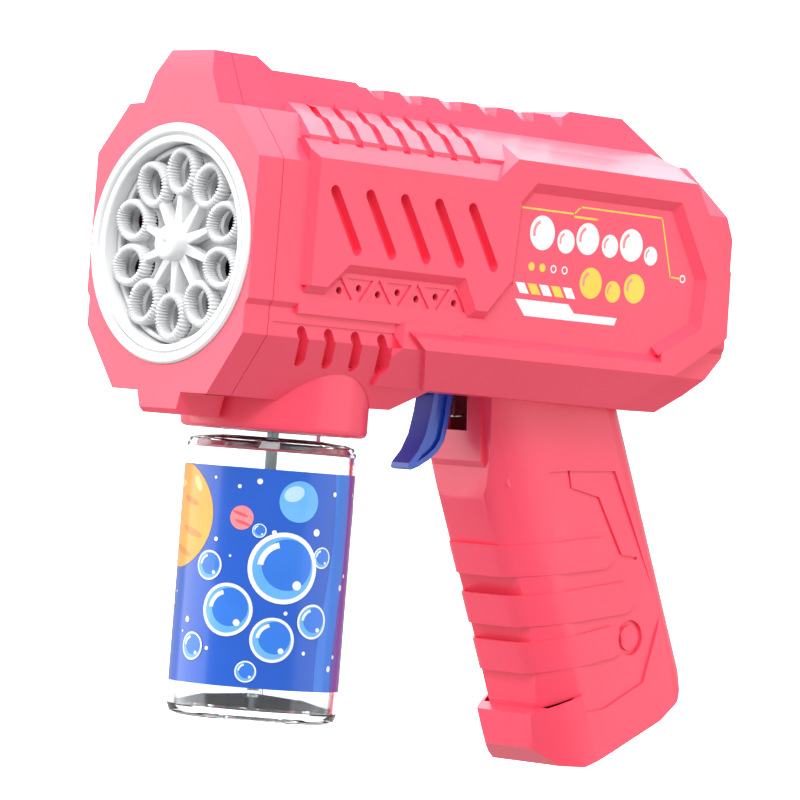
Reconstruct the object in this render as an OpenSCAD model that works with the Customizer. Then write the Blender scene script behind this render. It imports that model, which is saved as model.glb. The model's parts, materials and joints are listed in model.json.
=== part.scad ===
// Bubble machine: a pistol-shaped battery bubble blower. Origin on the axis of
// the bubble wheel in the plane of the front face, X to the rear, Z up, mm.

/* [Body] */
// Half width of the body at its sides, under the raised panels
side_half = 29.7; // [29.5:0.1:30.3]
// How far the side panels stand out from the body side
panel_rise = 2.0; // [1.5:0.1:2.4]
// Thickness of the moulded shells
wall = 2.0; // [1.6:0.1:2.3]
// Depth of the cooling-slot style recesses in the side panels
slot_depth = 2.6; // [1:0.2:3]

/* [Outlet] */
// Outer diameter of the white front ring
ring_d = 58; // [56.6:0.2:58]
// Number of bubble loops on the wheel
loops = 10; // [8:1:10]
// Distance of the loop centres from the wheel axis
loop_r = 17.5; // [17:0.1:17.8]

/* [Bottle] */
// Outside diameter of the bottle
bottle_d = 41.4; // [38:0.2:42]
// Height of the bottle body from shoulder to base
bottle_h = 68; // [62:1:76]
// Height of the printed label
label_h = 52.8; // [40:0.4:54]

/* [Grip] */
// Half width of the grip
grip_half = 15.4; // [15.2:0.1:16.4]
// Backward lean of the grip in degrees
lean = 24.5; // [24.3:0.1:24.7]

/* [Trigger] */
// Width of the trigger blade
trigger_w = 6.5; // [5.5:0.1:6.8]
// Diameter of the trigger pin
trigger_pin_d = 3; // [2.4:0.2:3]

/* [Drive] */
// Motor can diameter
motor_d = 24; // [22:0.5:24.4]
// Number of fan blades
fan_blades = 7; // [5:1:9]
// Gear module
gear_m = 0.5; // [0.5:0.1:0.5]

/* [Node] */
// One node, or all of them

/* [Hidden] */
$fn = 48;
e = 0.01;
pink = [1, 0.43, 0.53];
white = [0.93, 0.93, 0.93];
panel_y = side_half + panel_rise;
ring_r = ring_d / 2;
sock_x = 37.7;
bot_top = -45;
bot_bot = bot_top - bottle_h;
rB = [0, 12];
rA = [10.392, 6];
x_split = 7.8;

// extrude an XZ outline along Y, and a YZ outline along X
module xz(y0, y1) translate([0, y1, 0]) rotate([90, 0, 0]) linear_extrude(y1 - y0) children();
module yz(x0, x1) translate([x0, 0, 0]) rotate([90, 0, 90]) linear_extrude(x1 - x0) children();
// turned profile about the X axis: profile x is radius, y is X position
module turn() rotate([0, 90, 0]) rotate_extrude() children();
module rod(p, q, r) {
  d = q - p;
  L = norm(d);
  translate(p) rotate([0, acos(d[2] / L), atan2(d[1], d[0])]) cylinder(r = r, h = L);
}
function mir(p) = concat(p, [for (i = [len(p) - 1:-1:0]) [-p[i][0], p[i][1]]]);

// ---------- outer form of the body ----------
sec_h = [[7.7, 46.75], [13.8, 33.85], [19.1, 33.5], [side_half, 21.45],
  [side_half, -12.2], [28.65, -13.6], [28.65, -20.5], [17.4, -35.4]];
module sec() polygon(mir(sec_h));
shoulder_h = [[13.2, 36.4], [20, 33.1], [27.2, 28.2], [27.2, 27.1], [27.2, 15]];
rear_h = [[13.2, 36.4], [20, 33.1], [panel_y, 28.75], [panel_y, 10]];
panel_h = [[27.3, 27.1], [panel_y, 22.7], [panel_y, -20.4], [24.4, -29.9]];
side_pts = [[7.9, -35.4], [59.4, -35.4], [68.7, -29.9], [148, -29.9], [154, -25],
  [167, -11], [167, 8], [155.3, 33.6], [150.3, 37.4], [141, 44.7], [122, 44.6],
  [118.7, 42.9], [48.5, 42.9], [47.5, 43.8], [20, 43.8], [16, 46.8], [7.9, 46.8]];
module side_form() polygon(side_pts);
module plan_form(t = 0) polygon([[7, -40], [160 - t, -40 + t], [162.5 - t, -31.8 + t], [164.5 - t, -27 + t], [168 - t, -14 + t],
    [168 - t, 14 - t], [164.5 - t, 27 - t], [162.5 - t, 31.8 - t], [160 - t, 40 - t], [7, 40]]);
notches = [[50.5, 56.7], [61.7, 69.4], [74.8, 83.0], [88.1, 95.5], [100.8, 108.4], [114, 118.7]];

// edge of the side recess
edge_pts = [[12, -7.8], [23.1, -7.8], [29.7, -1.9], [68.2, -1.9], [72.4, -9.4], [76.3, -9.4], [84, -1], [85.1, 18.5], [90.1, 23.5],
  [141.7, 23.5], [153, 5], [152, -8], [137.5, -15.6]];

module body_form() intersection() {
  union() {
    // half step in front of the ledge
    intersection() {
      yz(48, 70) polygon(mir([[30.3, -14.2], [30.3, -20.4], [22.8, -29.9]]));
      linear_extrude(80, center = true) polygon([[48.6, -28.4], [50.8, -30.6], [70, -30.6], [70, 30.6], [50.8, 30.6], [48.6, 28.4]]);
    }
    intersection() {
      yz(7.9, 170) sec();
      xz(-40, 40) side_form();
    }
    // shoulders
    intersection() {
      yz(17.6, 152) polygon(mir(shoulder_h));
      xz(-40, 40) polygon([[18.6, 0], [17.6, 28], [22.4, 37], [146.7, 37], [153, 33], [153, 0]]);
    }
    // raised side panels and the ledge under them
    difference() {
      union() {
      // rear shoulders
      intersection() {
        yz(76, 163) polygon(mir(rear_h));
        xz(-40, 40) polygon([[60, 8], [76.3, 22.7], [83.2, 28.75], [88, 33.1], [91, 37], [146.7, 37], [150, 33.1], [147, 28.8],
            [161.8, 7.3], [161.8, 4]]);
      }
      intersection() {
        yz(16, 163) polygon(mir(panel_h));
        xz(-40, 40) polygon([[16, 30], [16, -14.6], [50.4, -14.6], [53.1, -17.5], [56.6, -20.4], [64, -29.9],
            [131, -29.9], [143.7, -20.4], [162, -9.5], [161.7, 7.3], [147, 28.8], [145, 30]]);
      }
      }
      for (s = [-1, 1]) {
        // front bevel of the panel
        linear_extrude(80, center = true) polygon([[15, s * 40], [17.9, s * panel_y],
            [16, s * (side_half - 0.01)], [15, s * side_half]]);
        // recess for the vent row and the printed field
        xz(min(s * side_half, s * 40), max(s * side_half, s * 40))
          polygon(concat(edge_pts, [[51.2, -15.6], [50.4, -14.6], [12, -14.6]]));
        // lit bevel along the top of the ledge
        yz(49, 138.5) polygon([[s * (side_half - 0.01), -15.6], [s * (panel_y + 0.1), -17.6],
            [s * (panel_y + 0.1), -14], [s * side_half, -14]]);
      }
    }
  }
  linear_extrude(200, center = true) plan_form();
}

// scallops in the two top edges of the spine
module spine_cuts() for (s = [-1, 1], n = notches)
  intersection() {
    xz(min(s * 3, s * 20), max(s * 3, s * 20)) polygon([[n[0], 43.2], [n[0] + 2.6, 40.4], [n[1] - 1, 40.4], [n[1], 43.2]]);
    yz(n[0] - 1, n[1] + 1) polygon([[s * 4.4, 43.3], [s * 10.5, 39.4], [s * 20, 39.4], [s * 20, 44]]);
  }

// zig-zag grooves across the shoulders
module rib_cuts() intersection() {
  difference() {
    yz(19, 82) polygon(mir([[13.0, 38], [20.5, 35], [29, 29.4], [29, 26.6], [27, 26.6]]));
    yz(18, 83) polygon(mir([[12.4, 35.2], [19.3, 31.9], [25.8, 27.4], [25.8, 20]]));
  }
  for (s = [-1, 1], i = [0:6]) translate([29.2 + 7.85 * i, 0, 0]) linear_extrude(60)
    polygon([[1.3, s * 12], [1.2, s * 14.5], [-0.8, s * 19], [0.1, s * 19.8], [-0.2, s * 21.8], [-2.2, s * 26.5], [-2.2, s * 29.5],
        [-4.6, s * 29.5], [-4.6, s * 26.5], [-2.8, s * 22.4], [-2.4, s * 20.4], [-3.4, s * 19.6], [-1.3, s * 14.5], [-1.2, s * 12]]);
}

module stadium(p, q, r) {
  d = q - p;
  a = atan2(d[1], d[0]);
  polygon([for (k = [0:12]) p + r * [cos(a + 90 + 15 * k), sin(a + 90 + 15 * k)],
    for (k = [0:12]) q + r * [cos(a - 90 + 15 * k), sin(a - 90 + 15 * k)]]);
}

vent_x = [for (i = [0:6]) 29 + 6.35 * i];
module side_cuts() for (s = [-1, 1]) {
  // five slanted blind slots
  xz(min(s * (panel_y - slot_depth), s * 40), max(s * (panel_y - slot_depth), s * 40))
    for (i = [0:4]) stadium([23.2 + 11.4 * i, 15.2], [31.6 + 11.4 * i, 1.8], 1.45);
  // air vents
  for (i = [0:6]) translate([vent_x[i], s * 24, (i % 2) ? -7.2 : -8.2]) rotate([-s * 90, 0, 0]) cylinder(r = 0.9, h = 20);
  // triangles pressed in round the vents
  xz(min(s * (side_half - 0.45), s * 40), max(s * (side_half - 0.45), s * 40)) for (i = [0:6])
    translate([vent_x[i], (i % 2) ? -7.2 : -8.2]) polygon((i % 2) ? [[-4.2, 2.2], [4.2, 2.2], [0.2, -3.4]] : [[-4.2, -2.0], [4.2, -2.0], [-0.2, 3.6]]);
  // four slots over the lower edge
  intersection() {
    xz(min(s * 15, s * 40), max(s * 15, s * 40)) for (i = [0:3]) stadium([18.9 + 8.7 * i, -18.9], [22.3 + 8.7 * i, -25.7], 1.4);
    difference() {
      yz(10, 60) square([90, 90], center = true);
      yz(9, 61) polygon(mir([[26, -5], [26, -19.6], [14.6, -35]]));
    }
  }
  // shallow field above them
  difference() {
    xz(min(s * 28.2, s * 40), max(s * 28.2, s * 40)) polygon([[9.3, -17], [48.6, -17], [50.4, -20.4], [50.4, -29], [9.3, -29]]);
    xz(-50, 50) polygon([[0, -20.5], [60, -20.5], [60, -40], [0, -40]]);
  }
}

// ---------- grip ----------
function gsec(u0, u1, h) = let (p = [[u0, 7.2], [u0 + 0.7, 9.2], [u0 + 2.6, 11.0], [u0 + 6, 12.9], [u0 + 10, 14.4],
    [u0 + 15, h], [u1 - 9, h], [u1 - 5.5, h - 0.8], [u1 - 2.4, h - 3], [u1 - 0.6, h - 5.8], [u1, h - 8]])
  concat(p, [for (i = [len(p) - 1:-1:0]) [p[i][0], -p[i][1]]]);
module leaning(s0, s1) rotate([0, -lean, 0]) translate([0, 0, s0]) linear_extrude(s1 - s0) children();
grip_pts = [[98.3, -27], [98.3, -30], [102.9, -54.8], [105.7, -62.1], [109.9, -68.6], [116, -77.6], [121.3, -90],
  [126.4, -105.7], [123.8, -108.9], [126.2, -117.7], [132.9, -121.7], [140, -121.7], [148.5, -117.6], [165.4, -109],
  [171.8, -103.6], [174.1, -94.8], [172.3, -86], [168, -75], [160.4, -60], [153.2, -46], [150.8, -36], [150.8, -27]];
module grip_form(t = 0) intersection() {
  xz(-20, 20) offset(delta = -t) polygon(grip_pts);
  union() {
    leaning(-190, -50) polygon(gsec(70.8 + t, 120.6 - t, grip_half - t));
    leaning(-190, -150.5) polygon(gsec(66 + t, 119 - t, grip_half - t));
  }
}
// block in front of the grip that the trigger pulls towards
module block_plan(d, t) polygon([[98 + t, 9.25 - t], [104.9 - d + t, 9.25 - t], [108.4 - d + t, 12.7 - t], [115 + t, 12.7 - t],
    [117.7 + t, grip_half - t], [124, grip_half - t], [124, -grip_half + t], [117.7 + t, -grip_half + t], [115 + t, -12.7 + t],
    [108.4 - d + t, -12.7 + t], [104.9 - d + t, -9.25 + t], [98 + t, -9.25 + t]]);
module block_form(t = 0) intersection() {
  xz(-20, 20) offset(delta = -t) polygon([[98.3, -26], [98.3, -30], [99.7, -46], [109.5, -53.7], [118, -50.8], [126, -48], [126, -26]]);
  union() {
    translate([0, 0, -40.6]) linear_extrude(16) block_plan(0, t);
    translate([0, 0, -60]) linear_extrude(19.41) block_plan(2, t);
  }
}
panel_in = [[112, -47.2], [125, -46.5], [141.7, -45.6], [162.9, -81], [158, -99.3], [144.5, -106.5], [128, -108], [126, -104]];
module grip_cuts() for (s = [-1, 1]) {
  // sunk side field
  xz(min(s * (grip_half - 0.55), s * 20), max(s * (grip_half - 0.55), s * 20)) polygon([[118, -47.2], [125, -46.5], [141.7, -45.6],
      [162.9, -81], [158, -99.3], [144.5, -106.5], [138, -107.6], [126, -80]]);
  // step line
  xz(min(s * (grip_half - 1.1), s * 20), max(s * (grip_half - 1.1), s * 20)) polygon([[125, -46.5], [126.6, -51.4], [136.7, -53.3],
      [146.4, -67.6], [152.5, -67.9], [152.9, -67.2], [147.0, -66.8], [137.2, -52.6], [127.1, -50.8], [125.8, -46.4]]);
}
module grip_bands() intersection() {
  difference() {
    xz(-20, 20) for (b = [[104, -71.5, 36.4, 7.7], [108, -84.5, 41.4, 9.5], [112, -97, 34.3, 13.1]])
      translate([b[0], b[1]]) rotate(b[3]) polygon([[0, -4.1], [b[2], -4.1], [b[2] + 2.2, -3.3], [b[2] + 3.6, -1.6], [b[2] + 4, 0],
          [b[2] + 3.6, 1.6], [b[2] + 2.2, 3.3], [b[2], 4.1], [0, 4.1]]);
    leaning(-190, -50) polygon(gsec(71.5, 120, grip_half - 0.9));
  }
  leaning(-190, -50) polygon(gsec(70.3, 121.2, grip_half + 0.1));
}

module outer() {
  difference() {
    body_form();
    spine_cuts();
    rib_cuts();
    side_cuts();
  }
  difference() {
    union() {
      grip_form();
      block_form();
    }
    grip_cuts();
  }
  grip_bands();
}

bosses = [[30, 39], [128, 38], [150, 2], [118, -18], [145, -114.3], [74, -24]];
module hollow() {
  difference() {
    intersection() {
      yz(7, 163) offset(delta = -wall) sec();
      xz(-40, 40) offset(delta = -wall) polygon(concat([[-5, -35.4]], [for (i = [1:len(side_pts) - 2]) side_pts[i]], [[-5, 46.8]]));
      linear_extrude(200, center = true) plan_form(wall);
    }
    // backing behind the four lower slots
    for (s = [-1, 1]) intersection() {
      yz(14, 50) polygon([[s * 32, -15], [s * 24.6, -15], [s * 24.6, -19.3], [s * 18, -28.2], [s * 18, -32], [s * 32, -32]]);
      yz(13, 51) square([80, 80], center = true);
    }
  }
  grip_form(wall);
  block_form(wall);
  translate([100.5, -12, -34]) cube([48, 24, 12]);
}
module boss_posts() intersection() {
  union() {
    for (b = bosses) translate([b[0], 35, b[1]]) rotate([90, 0, 0]) {
      cylinder(r = 3, h = 70);
      cylinder(r = 4.3, h = 29.5);
    }
    // trigger pin bosses
    for (s = [-1, 1]) translate([91, s * 4.2, -24]) rotate([-s * 90, 0, 0]) cylinder(r = 3.1, h = 26);
  }
  union() {
    body_form();
    grip_form();
  }
}
module both() {
  difference() {
    union() {
      difference() {
        outer();
        hollow();
      }
      boss_posts();
    }
    // socket hole
    translate([sock_x, 0, -50]) cylinder(r = 23.0, h = 24.05);
    // trigger slot and window
    translate([85.4, -3.7, -34]) cube([12, 7.4, 8]);
    translate([97, -4, -38.5]) cube([6, 8, 12]);
    // pin bore
    translate([91, 11.2, -24]) rotate([90, 0, 0]) cylinder(d = trigger_pin_d + 0.04, h = 22.4);
  }
}
door_box = [[80.9, -158.6], [111.2, -96.4]];
module door_zone(g, y0 = 2) rotate([0, -lean, 0]) translate([door_box[0][0] - g, y0, door_box[0][1] - g])
  cube([door_box[1][0] - door_box[0][0] + 2 * g, 30, door_box[1][1] - door_box[0][1] + 2 * g]);
door_scr = [96, -155.6];
module at_door_screw() rotate([0, -lean, 0]) translate([door_scr[0], 0, door_scr[1]]) rotate([-90, 0, 0]) children();

module left_shell() color(pink) difference() {
  union() {
    intersection() {
      both();
      translate([0, -50, -150]) cube([200, 50, 300]);
    }
    at_door_screw() translate([0, 0, -14.5]) cylinder(r = 3, h = 26.5);
  }
  for (b = bosses) translate([b[0], 1, b[1]]) rotate([90, 0, 0]) cylinder(r = 1.35, h = 8);
  at_door_screw() translate([0, 0, 2]) cylinder(r = 1.4, h = 20);
  // round recess with a raised plug
  translate([152.2, -grip_half + 1.4, -88]) rotate([90, 0, 0]) difference() {
    cylinder(r = 4.6, h = 6);
    translate([0, 0, -1]) cylinder(r = 3.2, h = 2.2);
  }
}
module right_shell() color(pink) difference() {
  intersection() {
    both();
    translate([0, 0.02, -150]) cube([200, 50, 300]);
  }
  for (b = bosses) translate([b[0], 0, b[1]]) rotate([-90, 0, 0]) {
    translate([0, 0, -1]) cylinder(r = 1.6, h = 60);
    translate([0, 0, 7]) cylinder(r = 3.0, h = 60);
  }
  door_zone(0.15);
}

// ---------- front ----------
module front_cover() color(pink) difference() {
  union() {
    difference() {
      yz(0, 7.7) sec();
      // slope at the top of the upper tab
      xz(-20, 20) polygon([[-1, 38.6], [-1, 50], [3.2, 50], [2.4, 46.8], [0, 40.7]]);
      difference() {
        yz(2.0, 9) offset(delta = -wall) sec();
        turn() translate([20, 1]) square([8.7, 8]);
      }
    }
    // lower tab
    yz(0, 14) polygon([[-7.9, -35.5], [-7.9, -35.8], [-6.5, -40.7], [6.5, -40.7], [7.9, -35.8], [7.9, -35.5]]);
    yz(0, 7.7) polygon([[-7.9, -34], [-7.9, -36], [7.9, -36], [7.9, -34]]);
  }
  turn() polygon([[0, -1], [ring_r + 0.1, -1], [ring_r + 0.1, 2.0], [27.1, 2.0], [27.1, 9], [0, 9]]);
  // front edge of the lower tab
  xz(-20, 20) polygon([[-1, -39.5], [0, -39.5], [1.2, -40.8], [1.2, -42], [-1, -42]]);
  // clear of the bottle socket
  translate([sock_x, 0, -50]) cylinder(r = 23.3, h = 24);
}
module front_ring() color(white) turn() polygon([[24.3, 0.0], [24.6, -0.3], [25.9, -0.3], [26.1, 0.3], [26.4, 0.3], [26.6, -0.5],
    [27.0, -0.8], [ring_r - 0.5, -0.8], [ring_r, -0.3], [ring_r, 1.95], [27.0, 1.95], [27.0, 5.6], [24.3, 5.6]]);
module wheel_backplate() color(white) difference() {
  union() {
    turn() polygon([[0, 6.0], [27.0, 6.0], [27.0, 7.5], [0, 7.5]]);
    turn() polygon([[0, 5.5], [4.2, 5.5], [4.2, 9.6], [0, 9.6]]);
  }
  for (i = [0:9]) rotate([36 * i, 0, 0]) translate([0, 0, loop_r]) yz(4, 9) polygon(oval(3.7, 4.7, 28));
  rotate([0, 90, 0]) cylinder(r = 1.56, h = 20, center = true);
  translate([0, -7, -22]) rotate([0, 90, 0]) cylinder(r = 1.35, h = 30, center = true);
}
function oval(a, b, n) = [for (i = [0:n - 1]) [a * cos(360 * i / n), b * sin(360 * i / n)]];
function toothed(a, b, d, n) = [for (i = [0:n - 1], k = [0, 1, 2, 3])
    let (t = 360 * (i + [0, 0.04, 0.5, 0.54][k]) / n, g = [0, d, d, 0][k]) [(a + g) * cos(t), (b + g) * sin(t)]];
module bubble_wheel() color(white) difference() {
  union() {
    for (i = [0:loops - 1]) rotate([360 / loops * i, 0, 0]) {
      // ribbed loop
      translate([0, 0, loop_r]) yz(0.8, 5.2) difference() {
        polygon(toothed(4.3, 5.05, 0.62, 26));
        polygon(oval(3.45, 4.3, 32));
      }
    }
    // star of tapering spokes
    yz(2.0, 4.6) polygon([for (i = [0:loops - 1], k = [0, 1, 2]) let (t = 360 / loops * i, a = [-180 / loops, 0, 0][k] + t,
        h = [0, 0.55, -0.55][k], q = [4.7, loop_r - 4.72, loop_r - 4.72][k]) [-q * sin(a) + h * cos(a), q * cos(a) + h * sin(a)]]);
    turn() polygon([[0, -2.0], [3.4, -2.0], [4.2, -1.2], [4.2, 5.0], [0, 5.0]]);
    turn() polygon([[22.7, 3.4], [23.9, 3.4], [23.9, 4.9], [22.7, 4.9]]);
  }
  translate([-0.5, 0, 0]) rotate([0, 90, 0]) cylinder(r = 1.5, h = 20);
}
module wheel_shaft() color([0.75, 0.75, 0.78]) translate([-0.5, 0, 0]) rotate([0, 90, 0]) cylinder(r = 1.5, h = 16.9);

// ---------- gear train ----------
function gear_pts(n, ph) = let (r = n * gear_m / 2, w = 90 / n) [for (i = [0:n - 1], k = [0:5])
    let (a = ph + 360 * i / n + [-1.25, -0.86, -0.42, 0.42, 0.86, 1.25][k] * w * 0.86,
      q = r + [-0.62, 0, 0.4, 0.4, 0, -0.62][k] * gear_m / 0.5) [q * cos(a), q * sin(a)]];
module gear(n, x0, x1, c, ph, bore) difference() {
  yz(x0, x1) translate(c) polygon(gear_pts(n, ph));
  translate([0, c[0], c[1]]) rotate([0, 90, 0]) cylinder(r = bore, h = 60);
}
module axle(c, x0, x1, r) translate([x0, c[0], c[1]]) rotate([0, 90, 0]) cylinder(r = r, h = x1 - x0);
module wheel_gear() color([0.9, 0.85, 0.6]) difference() {
  union() {
    gear(36, 13, 15.2, [0, 0], 0, 1.5);
    axle([0, 0], 12.3, 15.6, 3);
  }
  axle([0, 0], 5, 30, 1.5);
}
plate_pts = [[-27.4, -4], [-27.4, 4], [-13, 10], [-11, 23], [11, 23], [21, 17], [22, 6], [27.4, 4], [27.4, -4], [13, -12], [-13, -12]];
module gearbox_front_plate() color([0.3, 0.3, 0.33]) difference() {
  yz(10, 12) polygon(plate_pts);
  axle([0, 0], 5, 20, 1.56);
  axle(rB, 5, 20, 1.25);
  axle(rA, 5, 11, 1.0);
  axle(rA, 10.9, 20, 1.0);
  for (p = [[-12, -9], [12, -9], [-9, 20.5], [19, 15]]) axle(p, 5, 20, 0.8);
}
module gearbox_rear_plate() color([0.3, 0.3, 0.33]) difference() {
  yz(22, 23.6) polygon(plate_pts);
  axle([0, 0], 5, 40, 2.2);
  axle(rB, 5, 40, 1.25);
  axle(rA, 5, 40, 1.0);
  for (p = [[-12, -9], [12, -9], [-9, 20.5], [19, 15]]) axle(p, 5, 40, 0.8);
}
module gearbox_posts() color([0.3, 0.3, 0.33]) for (p = [[-12, -9], [12, -9], [-9, 20.5], [19, 15]]) {
  axle(p, 12, 22, 1.3);
  axle(p, 10.2, 23.6, 0.8);
}
module idler_pin() color([0.75, 0.75, 0.78]) axle(rA, 10.2, 23.6, 1.0);
module pump_gear() color([0.9, 0.85, 0.6]) {
  gear(12, 12.6, 16.1, rB, 15, 0.1);
  gear(36, 16, 18.2, rB, 0, 0.1);
  axle(rB, 10, 30.2, 1.2);
}
module idler_gear() color([0.9, 0.85, 0.6]) {
  gear(12, 15.6, 19.1, rA, 15, 1.04);
  gear(36, 19, 21.2, rA, 0, 1.04);
}
module motor_pinion() color([0.8, 0.6, 0.25]) gear(12, 18.8, 21.6, [0, 0], 15, 1.0);
module motor_shaft() color([0.75, 0.75, 0.78]) axle([0, 0], 18.4, 75.4, 1.0);

// ---------- fan and motor ----------
module fan_impeller() color([0.92, 0.92, 0.95]) difference() {
  union() {
    axle([0, 0], 34, 44, 5);
    for (i = [0:fan_blades - 1]) rotate([360 / fan_blades * i, 0, 0]) translate([39, 0, 12.2]) rotate([0, 0, 38])
      cube([9.6, 1.1, 15.6], center = true);
  }
  axle([0, 0], 30, 50, 1.0);
}
module fan_shroud() color([0.25, 0.25, 0.28]) {
  turn() polygon([[21.4, 32], [22.8, 32], [22.8, 48], [21.4, 48]]);
  for (i = [0:2]) rotate([120 * i + 60, 0, 0]) translate([45.6, -1.2, 13]) cube([2, 2.4, 9]);
  turn() polygon([[11, 45.2], [14.2, 45.2], [14.2, 56], [motor_d / 2 + 0.05, 56], [motor_d / 2 + 0.05, 47.9], [11, 47.9]]);
  for (s = [-1, 1]) translate([36, s * 24.85 - 2.65, -3]) cube([8, 5.3, 6]);
}
module motor_can() color([0.7, 0.7, 0.72]) turn() polygon([[1.5, 48], [3, 46.6], [4.4, 46.6], [4.4, 48], [motor_d / 2, 48],
    [motor_d / 2, 73.9], [motor_d / 2 - 0.8, 73.9], [motor_d / 2 - 0.8, 48.8], [1.5, 48.8]]);
module motor_magnets() color([0.2, 0.2, 0.2]) for (a = [30, 210]) rotate([0, 90, 0]) translate([0, 0, 50])
  rotate([0, 0, a]) rotate_extrude(angle = 120) translate([9.4, 0]) square([motor_d / 2 - 0.85 - 9.4, 20]);
module armature() color([0.8, 0.45, 0.2]) difference() {
  union() {
    axle([0, 0], 52, 67.5, 8.8);
  }
  for (i = [0:2]) rotate([120 * i, 0, 0]) translate([50, -1, 3.4]) cube([20, 2, 8]);
  axle([0, 0], 40, 80, 1.0);
}
module commutator() color([0.8, 0.5, 0.25]) difference() {
  axle([0, 0], 68, 72.6, 2.6);
  axle([0, 0], 40, 80, 1.0);
}
module motor_end_cap() color([0.9, 0.9, 0.85]) difference() {
  union() {
    axle([0, 0], 74, 76, motor_d / 2);
    axle([0, 0], 73, 77.4, 3.4);
  }
  axle([0, 0], 60, 76.2, 1.06);
}

// ---------- pump and liquid path ----------
module pump_housing() color([0.85, 0.85, 0.9]) difference() {
  union() {
    axle(rB, 24.6, 31.4, 9.9);
    translate([24.6, -13.6, 8]) cube([1.4, 27.2, 8]);
  }
  axle(rB, 20, 30.5, 8.4);
  translate([20, -8.4, -2]) cube([10.5, 16.8, 14]);
  axle(rB, 20, 31.0, 1.25);
}
module pump_rotor() color([0.2, 0.45, 0.8]) difference() {
  union() {
    axle(rB, 25.2, 30.0, 2.4);
    for (i = [0:2]) translate([0, rB[0], rB[1]]) rotate([120 * i, 0, 0]) {
      for (x = [25.2, 29.2]) translate([x, -1.2, 0]) cube([0.8, 2.4, 4.2]);
      for (x = [25.2, 29.2]) translate([x, 0, 4.2]) rotate([0, 90, 0]) cylinder(r = 1.2, h = 0.8);
    }
  }
  axle(rB, 20, 32, 1.2);
}
module pump_rollers() color([0.95, 0.95, 0.95]) for (i = [0:2]) translate([0, rB[0], rB[1]]) rotate([120 * i, 0, 0])
  translate([26.05, 0, 4.2]) rotate([0, 90, 0]) cylinder(r = 1.4, h = 3.1);
hose_r = 1.2;
module pump_hose() color([0.85, 0.9, 0.9]) {
  pts = [[sock_x, 0, -29.0], [sock_x, 0, -26.2], [27.6, 7.0, -26.2], [27.6, 7.0, 12]];
  for (i = [0:2]) rod(pts[i], pts[i + 1], hose_r);
  for (i = [1:2]) translate(pts[i]) sphere(r = hose_r);
  translate([27.6, 0, 12]) rotate([90, 0, 90]) rotate_extrude(angle = 180) translate([7.0, 0]) circle(r = hose_r);
  pt2 = [[27.6, -7.0, 12], [27.6, -7.0, -22], [11.4, -7.0, -22]];
  for (i = [0:1]) rod(pt2[i], pt2[i + 1], hose_r);
  translate(pt2[1]) sphere(r = hose_r);
}
module feed_nozzle() color([0.95, 0.95, 0.95]) difference() {
  union() {
    translate([7.6, -7, -22]) rotate([0, 90, 0]) cylinder(r = 2.6, h = 6);
    translate([6.2, -7, -22]) rotate([0, 90, 0]) cylinder(r = 1.3, h = 3);
  }
  translate([11.3, -7, -22]) rotate([0, 90, 0]) cylinder(r = 1.25, h = 3);
  translate([5, -7, -22]) rotate([0, 90, 0]) cylinder(r = 0.6, h = 8);
}
module bottle_socket() color(pink) translate([sock_x, 0, 0]) difference() {
  rotate_extrude() polygon([[14.2, -43], [21.4, -43], [22.2, -42.8], [22.7, -42.3], [22.9, -41.5], [22.9, -26.1], [21.4, -26.1],
      [21.4, -41], [15.9, -41], [15.9, -30], [2.0, -30], [2.0, -31.6], [14.2, -31.6], [14.2, -34.4], [13.5, -34.8], [13.5, -35.2],
      [14.2, -35.6], [14.2, -38.4], [13.5, -38.8], [13.5, -39.2], [14.2, -39.6]]);
}
module socket_seal() color([0.15, 0.15, 0.16]) translate([sock_x, 0, 0]) difference() {
  union() {
    translate([0, 0, -32.8]) cylinder(r = 12.2, h = 1.2);
    translate([0, 0, -31.7]) cylinder(r = 1.98, h = 2.7);
    translate([0, 0, -29.98]) cylinder(r = 2.9, h = 1.2);
  }
  translate([0, 0, -29.02]) cylinder(r = hose_r, h = 2);
  translate([0, 0, -34]) cylinder(r = 1.45, h = 2.6);
  translate([0, 0, -34]) cylinder(r = 0.8, h = 8);
}
module dip_tube() color([0.9, 0.95, 0.95]) translate([sock_x, 0, 0]) difference() {
  translate([0, 0, -106]) cylinder(r = 1.45, h = 74.6);
  translate([0, 0, -107]) cylinder(r = 0.9, h = 80);
}
br = bottle_d / 2;
module bottle() color([0.8, 0.92, 1, 0.4]) translate([sock_x, 0, 0]) rotate_extrude() polygon([[0, bot_bot + 4.4], [9, bot_bot + 3.8],
    [15, bot_bot + 1.6], [16.5, bot_bot + 0.2], [br - 2.2, bot_bot], [br - 0.6, bot_bot + 0.6], [br, bot_bot + 2.2], [br, bot_top - 2.2],
    [br - 0.6, bot_top - 0.6], [br - 2.2, bot_top], [12.4, bot_top + 0.6], [12.4, -40.6], [13.2, -40.9], [13.2, -40.3], [12.4, -40.0], [12.4, -36.6],
    [13.2, -36.9], [13.2, -36.3], [12.4, -36], [12.4, -33.0], [10.8, -33.0], [10.8, bot_top - 0.8], [br - 2.6, bot_top - 1.4],
    [br - 1.3, bot_top - 2.8], [br - 1.3, bot_bot + 2.6], [br - 2.6, bot_bot + 1.5], [17, bot_bot + 1.7], [15.6, bot_bot + 3.0],
    [9, bot_bot + 5.2], [0, bot_bot + 5.8]]);
module bottle_label() color([0.1, 0.4, 0.8]) translate([sock_x, 0, 0]) difference() {
  translate([0, 0, -78.5 - label_h / 2]) cylinder(r = br + 0.16, h = label_h);
  translate([0, 0, -78.5 - label_h / 2 - 1]) cylinder(r = br, h = label_h + 2);
}
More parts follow.
